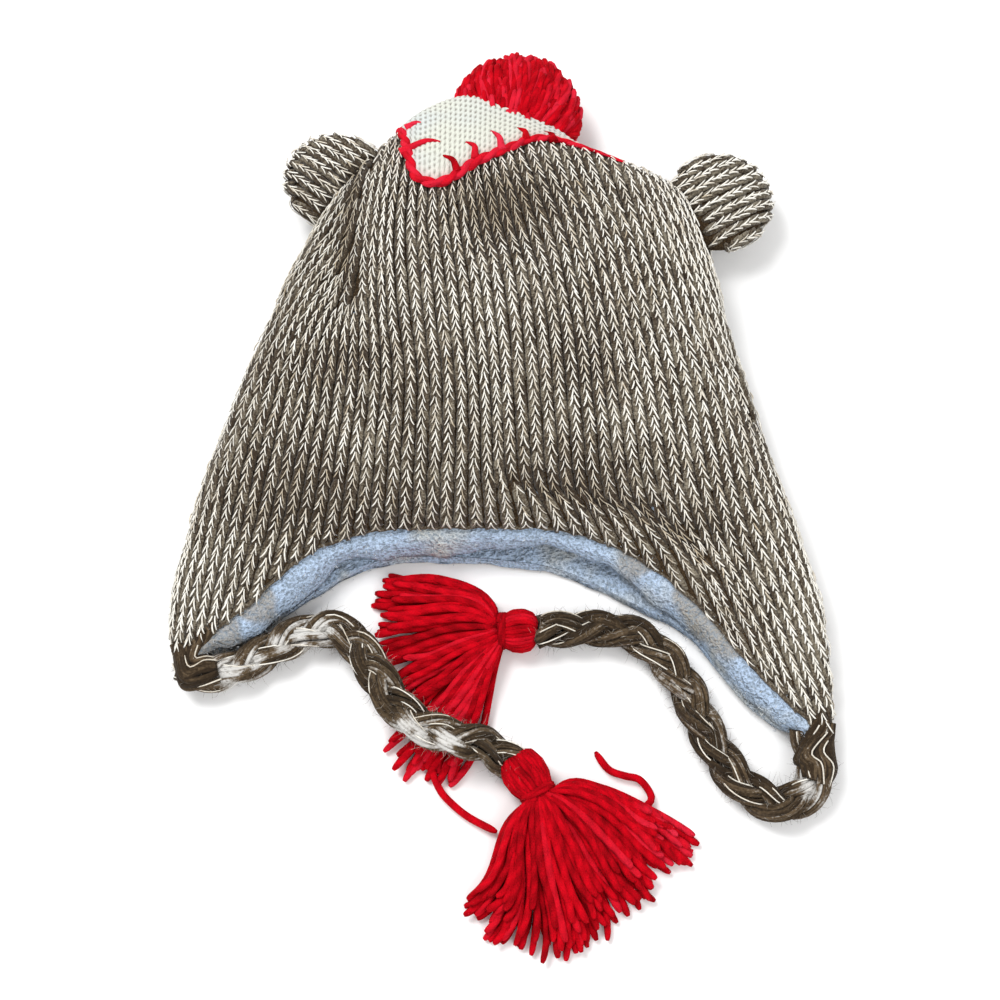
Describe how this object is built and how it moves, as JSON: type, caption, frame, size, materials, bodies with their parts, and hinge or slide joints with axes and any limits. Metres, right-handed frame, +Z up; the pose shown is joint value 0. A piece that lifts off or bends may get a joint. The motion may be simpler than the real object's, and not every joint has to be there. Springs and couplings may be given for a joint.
{
  "type": "knit trapper hat",
  "caption": "Lined knit trapper hat lying flat, with earflaps, plaited ties ending in yarn tassels, padded ears, a crown patch and a pompom.",
  "frame": {"origin": "middle of the underside of the hat's own box, without its ties and tassels, on the surface that the hat lies on", "axes": "+Y from the opening towards the top of the crown, +X from the left earflap to the right one as seen from above, +Z up out of the surface"},
  "size_m": [0.2961, 0.4248, 0.0539],
  "materials": {
    "knit": "ribbed wool-look knit, grey-brown with a thin cream yarn in each rib",
    "fleece": "pale blue-grey fleece",
    "cream_knit": "cream stocking-stitch knit",
    "red_yarn": "red acrylic yarn",
    "plait": "fuzzy grey-brown plait with cream strands"
  },
  "bodies": {
    "root": {"crown_knit": "knit", "fleece_lining": "fleece", "ear_left": "knit", "ear_right": "knit", "crown_patch": "cream_knit", "patch_edging": "red_yarn", "pompom": "red_yarn", "tie_left": "plait", "tie_right": "plait", "tassel_left": "red_yarn", "tassel_right": "red_yarn"}
  },
  "joints": []
}
